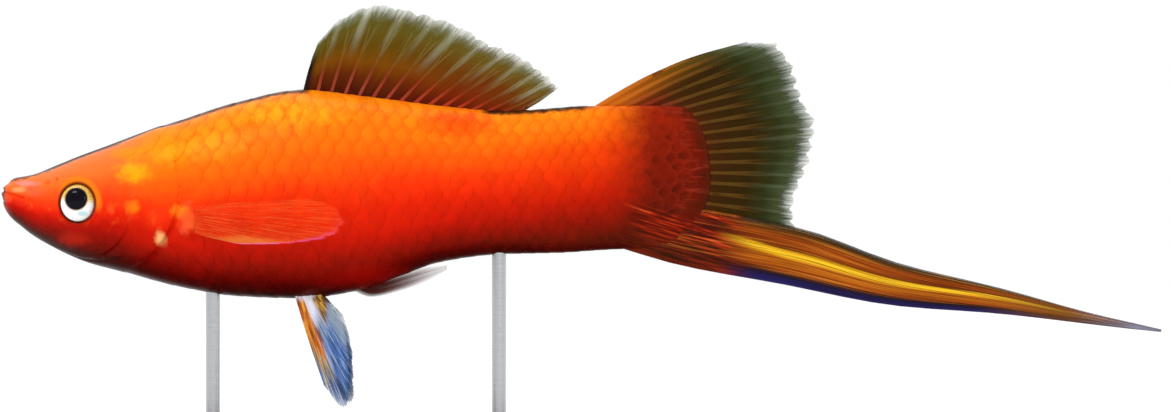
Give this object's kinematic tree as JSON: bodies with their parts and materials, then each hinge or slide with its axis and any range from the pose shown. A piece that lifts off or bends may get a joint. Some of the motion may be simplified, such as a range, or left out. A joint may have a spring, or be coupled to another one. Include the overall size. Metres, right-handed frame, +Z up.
{
  "type": "male swordtail fish model",
  "caption": "Still life-size model of a male swordtail of the red aquarium form, fins spread, held over a flat wooden base by steel rods.",
  "frame": {"origin": "middle of the bounding box's underside, on the surface that the stand rests on", "axes": "+X from the snout towards the tip of the sword, +Y to the fish's right, +Z up"},
  "size_m": [0.1164, 0.026, 0.0466],
  "materials": {
    "skin": "wet gloss, orange back to deep red belly",
    "head_skin": "wet gloss red",
    "eye": "clear gloss over a pale iris and black pupil",
    "dorsal_web": "thin olive brown membrane with pale rays",
    "tail_web": "thin dark olive membrane with brown rays",
    "sword_gold": "gold stripe with a navy lower margin",
    "clear_red_web": "clear red membrane",
    "blue_web": "pale blue membrane with an orange front edge",
    "wood": "dark stained and waxed",
    "steel": "brushed"
  },
  "bodies": {
    "root": {"head": "head_skin", "lower_jaw": "head_skin", "eye_left": "eye", "eye_right": "eye", "trunk": "skin", "tail_stalk": "skin", "dorsal_fin": "dorsal_web", "tail_fin": "tail_web", "tail_sword": "sword_gold", "pectoral_fin_left": "clear_red_web", "pectoral_fin_right": "clear_red_web", "pelvic_fin_left": "blue_web", "pelvic_fin_right": "blue_web", "gonopodium": "clear_red_web", "stand_base": "wood", "stand_rod_front": "steel", "stand_rod_rear": "steel"}
  },
  "joints": []
}
